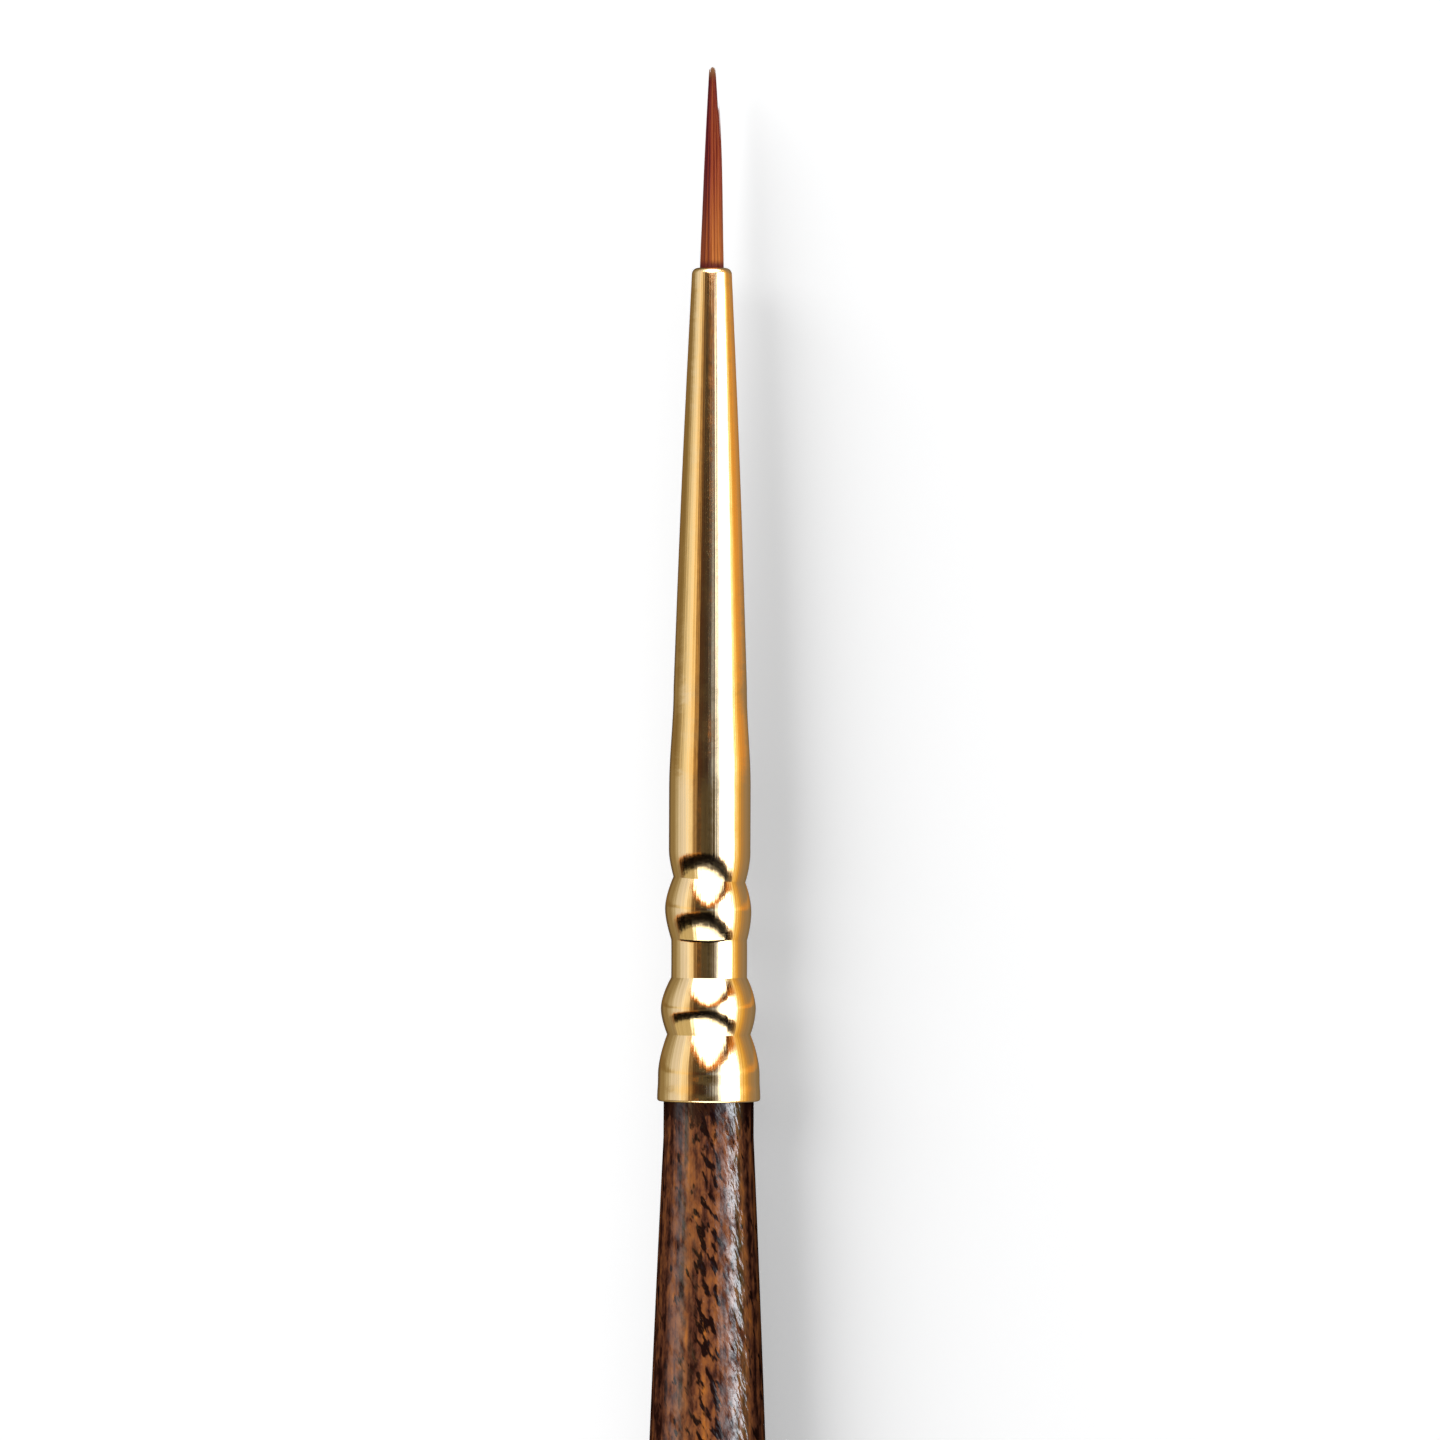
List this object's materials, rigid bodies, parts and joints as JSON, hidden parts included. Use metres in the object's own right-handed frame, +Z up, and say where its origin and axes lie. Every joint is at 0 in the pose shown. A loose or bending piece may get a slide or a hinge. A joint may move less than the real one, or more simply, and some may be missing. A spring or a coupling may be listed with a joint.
{
  "type": "fine detail brush",
  "caption": "Fine round brush for model making: lacquered wooden handle, crimped gold-coloured ferrule and a sprung tuft of soft hair that comes to a point.",
  "frame": {"origin": "middle of the brush's length, on the surface it lies on, under its axis", "axes": "+X along the brush, from the handle's tail to the point of the tuft; +Z up, away from the surface that the handle's belly rests on"},
  "size_m": [0.18, 0.0058, 0.0058],
  "materials": {
    "lacquered_wood": "dark brown stained wood under clear gloss lacquer",
    "wood_glue": "cured wood adhesive",
    "gilt_brass": "drawn brass tube, polished and gold plated",
    "root_resin": "cured amber resin",
    "binding_thread": "waxed cotton thread",
    "hair": "glossy red-brown animal hair"
  },
  "bodies": {
    "root": {"handle": "lacquered_wood", "tenon_glue": "wood_glue", "ferrule": "gilt_brass", "root_resin": "root_resin", "binding_thread": "binding_thread", "hair_heel": "hair"},
    "tuft_belly": {"tuft_belly": "hair"},
    "tuft_point": {"tuft_point": "hair"}
  },
  "joints": [
    {"name": "tuft_bend", "type": "hinge", "parent": "root", "child": "tuft_belly", "pos_m": [0.0826, 0, 0.0029], "axis": [0, 0, 1], "range_deg": [-32, 32], "stiffness_Nm_per_rad": 0.0004},
    {"name": "point_bend", "type": "hinge", "parent": "tuft_belly", "child": "tuft_point", "pos_m": [0.085, 0, 0.0029], "axis": [0, 0, 1], "range_deg": [-40, 40], "stiffness_Nm_per_rad": 0.0001}
  ]
}
